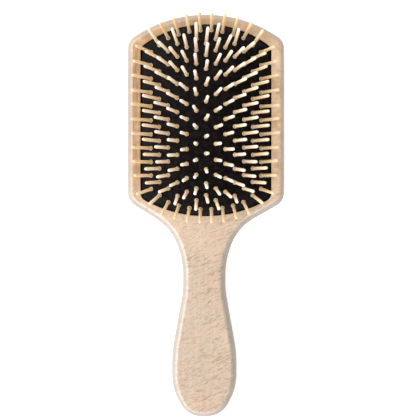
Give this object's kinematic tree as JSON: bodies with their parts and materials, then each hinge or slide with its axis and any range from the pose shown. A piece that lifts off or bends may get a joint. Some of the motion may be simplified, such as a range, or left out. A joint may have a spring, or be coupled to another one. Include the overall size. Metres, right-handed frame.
{
  "type": "paddle hairbrush",
  "caption": "Wooden paddle hairbrush: flat one-piece head and handle, domed black rubber cushion in a recess, splayed wooden pins that lean and sink with it.",
  "frame": {"origin": "on the flat back, at the middle of the overall length and width", "axes": "+Z out of the front along the middle pins, +Y from the handle towards the head, +X across the head"},
  "size_m": [0.092, 0.236, 0.0446],
  "materials": {
    "beech_body": "satin",
    "black_rubber": "matte",
    "pin_wood": "satin"
  },
  "bodies": {
    "paddle": {"paddle": "beech_body"},
    "cushion": {"cushion": "black_rubber"},
    "pins_column_01_lower": {"pins_column_01_lower": "pin_wood"},
    "pins_column_01_upper": {"pins_column_01_upper": "pin_wood"},
    "pins_column_02_lower": {"pins_column_02_lower": "pin_wood"},
    "pins_column_02_upper": {"pins_column_02_upper": "pin_wood"},
    "pins_column_03_lower": {"pins_column_03_lower": "pin_wood"},
    "pins_column_03_upper": {"pins_column_03_upper": "pin_wood"},
    "pins_column_04_lower": {"pins_column_04_lower": "pin_wood"},
    "pins_column_04_upper": {"pins_column_04_upper": "pin_wood"},
    "pins_column_05_lower": {"pins_column_05_lower": "pin_wood"},
    "pins_column_05_upper": {"pins_column_05_upper": "pin_wood"},
    "pins_column_06_lower": {"pins_column_06_lower": "pin_wood"},
    "pins_column_06_upper": {"pins_column_06_upper": "pin_wood"},
    "pins_column_07_lower": {"pins_column_07_lower": "pin_wood"},
    "pins_column_07_upper": {"pins_column_07_upper": "pin_wood"},
    "pins_column_08_lower": {"pins_column_08_lower": "pin_wood"},
    "pins_column_08_upper": {"pins_column_08_upper": "pin_wood"},
    "pins_column_09_lower": {"pins_column_09_lower": "pin_wood"},
    "pins_column_09_upper": {"pins_column_09_upper": "pin_wood"},
    "pins_column_10_lower": {"pins_column_10_lower": "pin_wood"},
    "pins_column_10_upper": {"pins_column_10_upper": "pin_wood"},
    "pins_column_11_lower": {"pins_column_11_lower": "pin_wood"},
    "pins_column_11_upper": {"pins_column_11_upper": "pin_wood"},
    "pins_column_12_lower": {"pins_column_12_lower": "pin_wood"},
    "pins_column_12_upper": {"pins_column_12_upper": "pin_wood"},
    "pins_column_13_lower": {"pins_column_13_lower": "pin_wood"},
    "pins_column_13_upper": {"pins_column_13_upper": "pin_wood"},
    "pins_end_row_bottom": {"pins_end_row_bottom": "pin_wood"},
    "pins_end_row_top": {"pins_end_row_top": "pin_wood"}
  },
  "joints": [
    {"name": "cushion_press", "type": "slide", "parent": "paddle", "child": "cushion", "axis": [0, 0, -1], "range_m": [0, 0.003], "stiffness_N_per_m": 3300, "deforming": ["cushion"]},
    {"name": "lean_column_01_lower", "type": "hinge", "parent": "cushion", "child": "pins_column_01_lower", "pos_m": [-0.03103, 0.03194, 0.01708], "axis": [0, 0.9995, 0.0311], "range_deg": [-12, 12], "stiffness_Nm_per_rad": 0.15},
    {"name": "lean_column_01_upper", "type": "hinge", "parent": "cushion", "child": "pins_column_01_upper", "pos_m": [-0.03102, 0.07587, 0.01715], "axis": [0, 0.9997, -0.0255], "range_deg": [-12, 12], "stiffness_Nm_per_rad": 0.18},
    {"name": "lean_column_02_lower", "type": "hinge", "parent": "cushion", "child": "pins_column_02_lower", "pos_m": [-0.02626, 0.03204, 0.01929], "axis": [0, 0.9982, 0.06], "range_deg": [-12, 12], "stiffness_Nm_per_rad": 0.18},
    {"name": "lean_column_02_upper", "type": "hinge", "parent": "cushion", "child": "pins_column_02_upper", "pos_m": [-0.02626, 0.07976, 0.01929], "axis": [0, 0.9982, -0.06], "range_deg": [-12, 12], "stiffness_Nm_per_rad": 0.18},
    {"name": "lean_column_03_lower", "type": "hinge", "parent": "cushion", "child": "pins_column_03_lower", "pos_m": [-0.02126, 0.03191, 0.0214], "axis": [0, 0.9977, 0.0677], "range_deg": [-12, 12], "stiffness_Nm_per_rad": 0.15},
    {"name": "lean_column_03_upper", "type": "hinge", "parent": "cushion", "child": "pins_column_03_upper", "pos_m": [-0.02126, 0.07589, 0.02155], "axis": [0, 0.9985, -0.0544], "range_deg": [-12, 12], "stiffness_Nm_per_rad": 0.18},
    {"name": "lean_column_04_lower", "type": "hinge", "parent": "cushion", "child": "pins_column_04_lower", "pos_m": [-0.0161, 0.03166, 0.02273], "axis": [0, 0.9961, 0.0881], "range_deg": [-12, 12], "stiffness_Nm_per_rad": 0.18},
    {"name": "lean_column_04_upper", "type": "hinge", "parent": "cushion", "child": "pins_column_04_upper", "pos_m": [-0.0161, 0.08014, 0.02273], "axis": [0, 0.9961, -0.0881], "range_deg": [-12, 12], "stiffness_Nm_per_rad": 0.18},
    {"name": "lean_column_05_lower", "type": "hinge", "parent": "cushion", "child": "pins_column_05_lower", "pos_m": [-0.01081, 0.03044, 0.02388], "axis": [0, 0.9953, 0.0969], "range_deg": [-12, 12], "stiffness_Nm_per_rad": 0.15},
    {"name": "lean_column_05_upper", "type": "hinge", "parent": "cushion", "child": "pins_column_05_upper", "pos_m": [-0.01081, 0.07711, 0.0241], "axis": [0, 0.997, -0.0772], "range_deg": [-12, 12], "stiffness_Nm_per_rad": 0.18},
    {"name": "lean_column_06_lower", "type": "hinge", "parent": "cushion", "child": "pins_column_06_lower", "pos_m": [-0.00543, 0.02909, 0.02414], "axis": [0, 0.9935, 0.1138], "range_deg": [-12, 12], "stiffness_Nm_per_rad": 0.18},
    {"name": "lean_column_06_upper", "type": "hinge", "parent": "cushion", "child": "pins_column_06_upper", "pos_m": [-0.00543, 0.08271, 0.02414], "axis": [0, 0.9935, -0.1138], "range_deg": [-12, 12], "stiffness_Nm_per_rad": 0.18},
    {"name": "lean_column_07_lower", "type": "hinge", "parent": "cushion", "child": "pins_column_07_lower", "pos_m": [0, 0.02797, 0.02446], "axis": [0, 0.9933, 0.1158], "range_deg": [-12, 12], "stiffness_Nm_per_rad": 0.15},
    {"name": "lean_column_07_upper", "type": "hinge", "parent": "cushion", "child": "pins_column_07_upper", "pos_m": [0, 0.07917, 0.02475], "axis": [0, 0.9959, -0.0905], "range_deg": [-12, 12], "stiffness_Nm_per_rad": 0.18},
    {"name": "lean_column_08_lower", "type": "hinge", "parent": "cushion", "child": "pins_column_08_lower", "pos_m": [0.00543, 0.02909, 0.02414], "axis": [0, 0.9935, 0.1138], "range_deg": [-12, 12], "stiffness_Nm_per_rad": 0.18},
    {"name": "lean_column_08_upper", "type": "hinge", "parent": "cushion", "child": "pins_column_08_upper", "pos_m": [0.00543, 0.08271, 0.02414], "axis": [0, 0.9935, -0.1138], "range_deg": [-12, 12], "stiffness_Nm_per_rad": 0.18},
    {"name": "lean_column_09_lower", "type": "hinge", "parent": "cushion", "child": "pins_column_09_lower", "pos_m": [0.01081, 0.03044, 0.02388], "axis": [0, 0.9953, 0.0969], "range_deg": [-12, 12], "stiffness_Nm_per_rad": 0.15},
    {"name": "lean_column_09_upper", "type": "hinge", "parent": "cushion", "child": "pins_column_09_upper", "pos_m": [0.01081, 0.07711, 0.0241], "axis": [0, 0.997, -0.0772], "range_deg": [-12, 12], "stiffness_Nm_per_rad": 0.18},
    {"name": "lean_column_10_lower", "type": "hinge", "parent": "cushion", "child": "pins_column_10_lower", "pos_m": [0.0161, 0.03166, 0.02273], "axis": [0, 0.9961, 0.0881], "range_deg": [-12, 12], "stiffness_Nm_per_rad": 0.18},
    {"name": "lean_column_10_upper", "type": "hinge", "parent": "cushion", "child": "pins_column_10_upper", "pos_m": [0.0161, 0.08014, 0.02273], "axis": [0, 0.9961, -0.0881], "range_deg": [-12, 12], "stiffness_Nm_per_rad": 0.18},
    {"name": "lean_column_11_lower", "type": "hinge", "parent": "cushion", "child": "pins_column_11_lower", "pos_m": [0.02126, 0.03191, 0.0214], "axis": [0, 0.9977, 0.0677], "range_deg": [-12, 12], "stiffness_Nm_per_rad": 0.15},
    {"name": "lean_column_11_upper", "type": "hinge", "parent": "cushion", "child": "pins_column_11_upper", "pos_m": [0.02126, 0.07589, 0.02155], "axis": [0, 0.9985, -0.0544], "range_deg": [-12, 12], "stiffness_Nm_per_rad": 0.18},
    {"name": "lean_column_12_lower", "type": "hinge", "parent": "cushion", "child": "pins_column_12_lower", "pos_m": [0.02626, 0.03204, 0.01929], "axis": [0, 0.9982, 0.06], "range_deg": [-12, 12], "stiffness_Nm_per_rad": 0.18},
    {"name": "lean_column_12_upper", "type": "hinge", "parent": "cushion", "child": "pins_column_12_upper", "pos_m": [0.02626, 0.07976, 0.01929], "axis": [0, 0.9982, -0.06], "range_deg": [-12, 12], "stiffness_Nm_per_rad": 0.18},
    {"name": "lean_column_13_lower", "type": "hinge", "parent": "cushion", "child": "pins_column_13_lower", "pos_m": [0.03103, 0.03194, 0.01708], "axis": [0, 0.9995, 0.0311], "range_deg": [-12, 12], "stiffness_Nm_per_rad": 0.15},
    {"name": "lean_column_13_upper", "type": "hinge", "parent": "cushion", "child": "pins_column_13_upper", "pos_m": [0.03102, 0.07587, 0.01715], "axis": [0, 0.9997, -0.0255], "range_deg": [-12, 12], "stiffness_Nm_per_rad": 0.18},
    {"name": "lean_end_row_bottom", "type": "hinge", "parent": "cushion", "child": "pins_end_row_bottom", "pos_m": [0, 0.00674, 0.01819], "axis": [1, 0, 0], "range_deg": [-10, 10], "stiffness_Nm_per_rad": 0.24},
    {"name": "lean_end_row_top", "type": "hinge", "parent": "cushion", "child": "pins_end_row_top", "pos_m": [0, 0.10506, 0.01819], "axis": [1, 0, 0], "range_deg": [-10, 10], "stiffness_Nm_per_rad": 0.24}
  ]
}
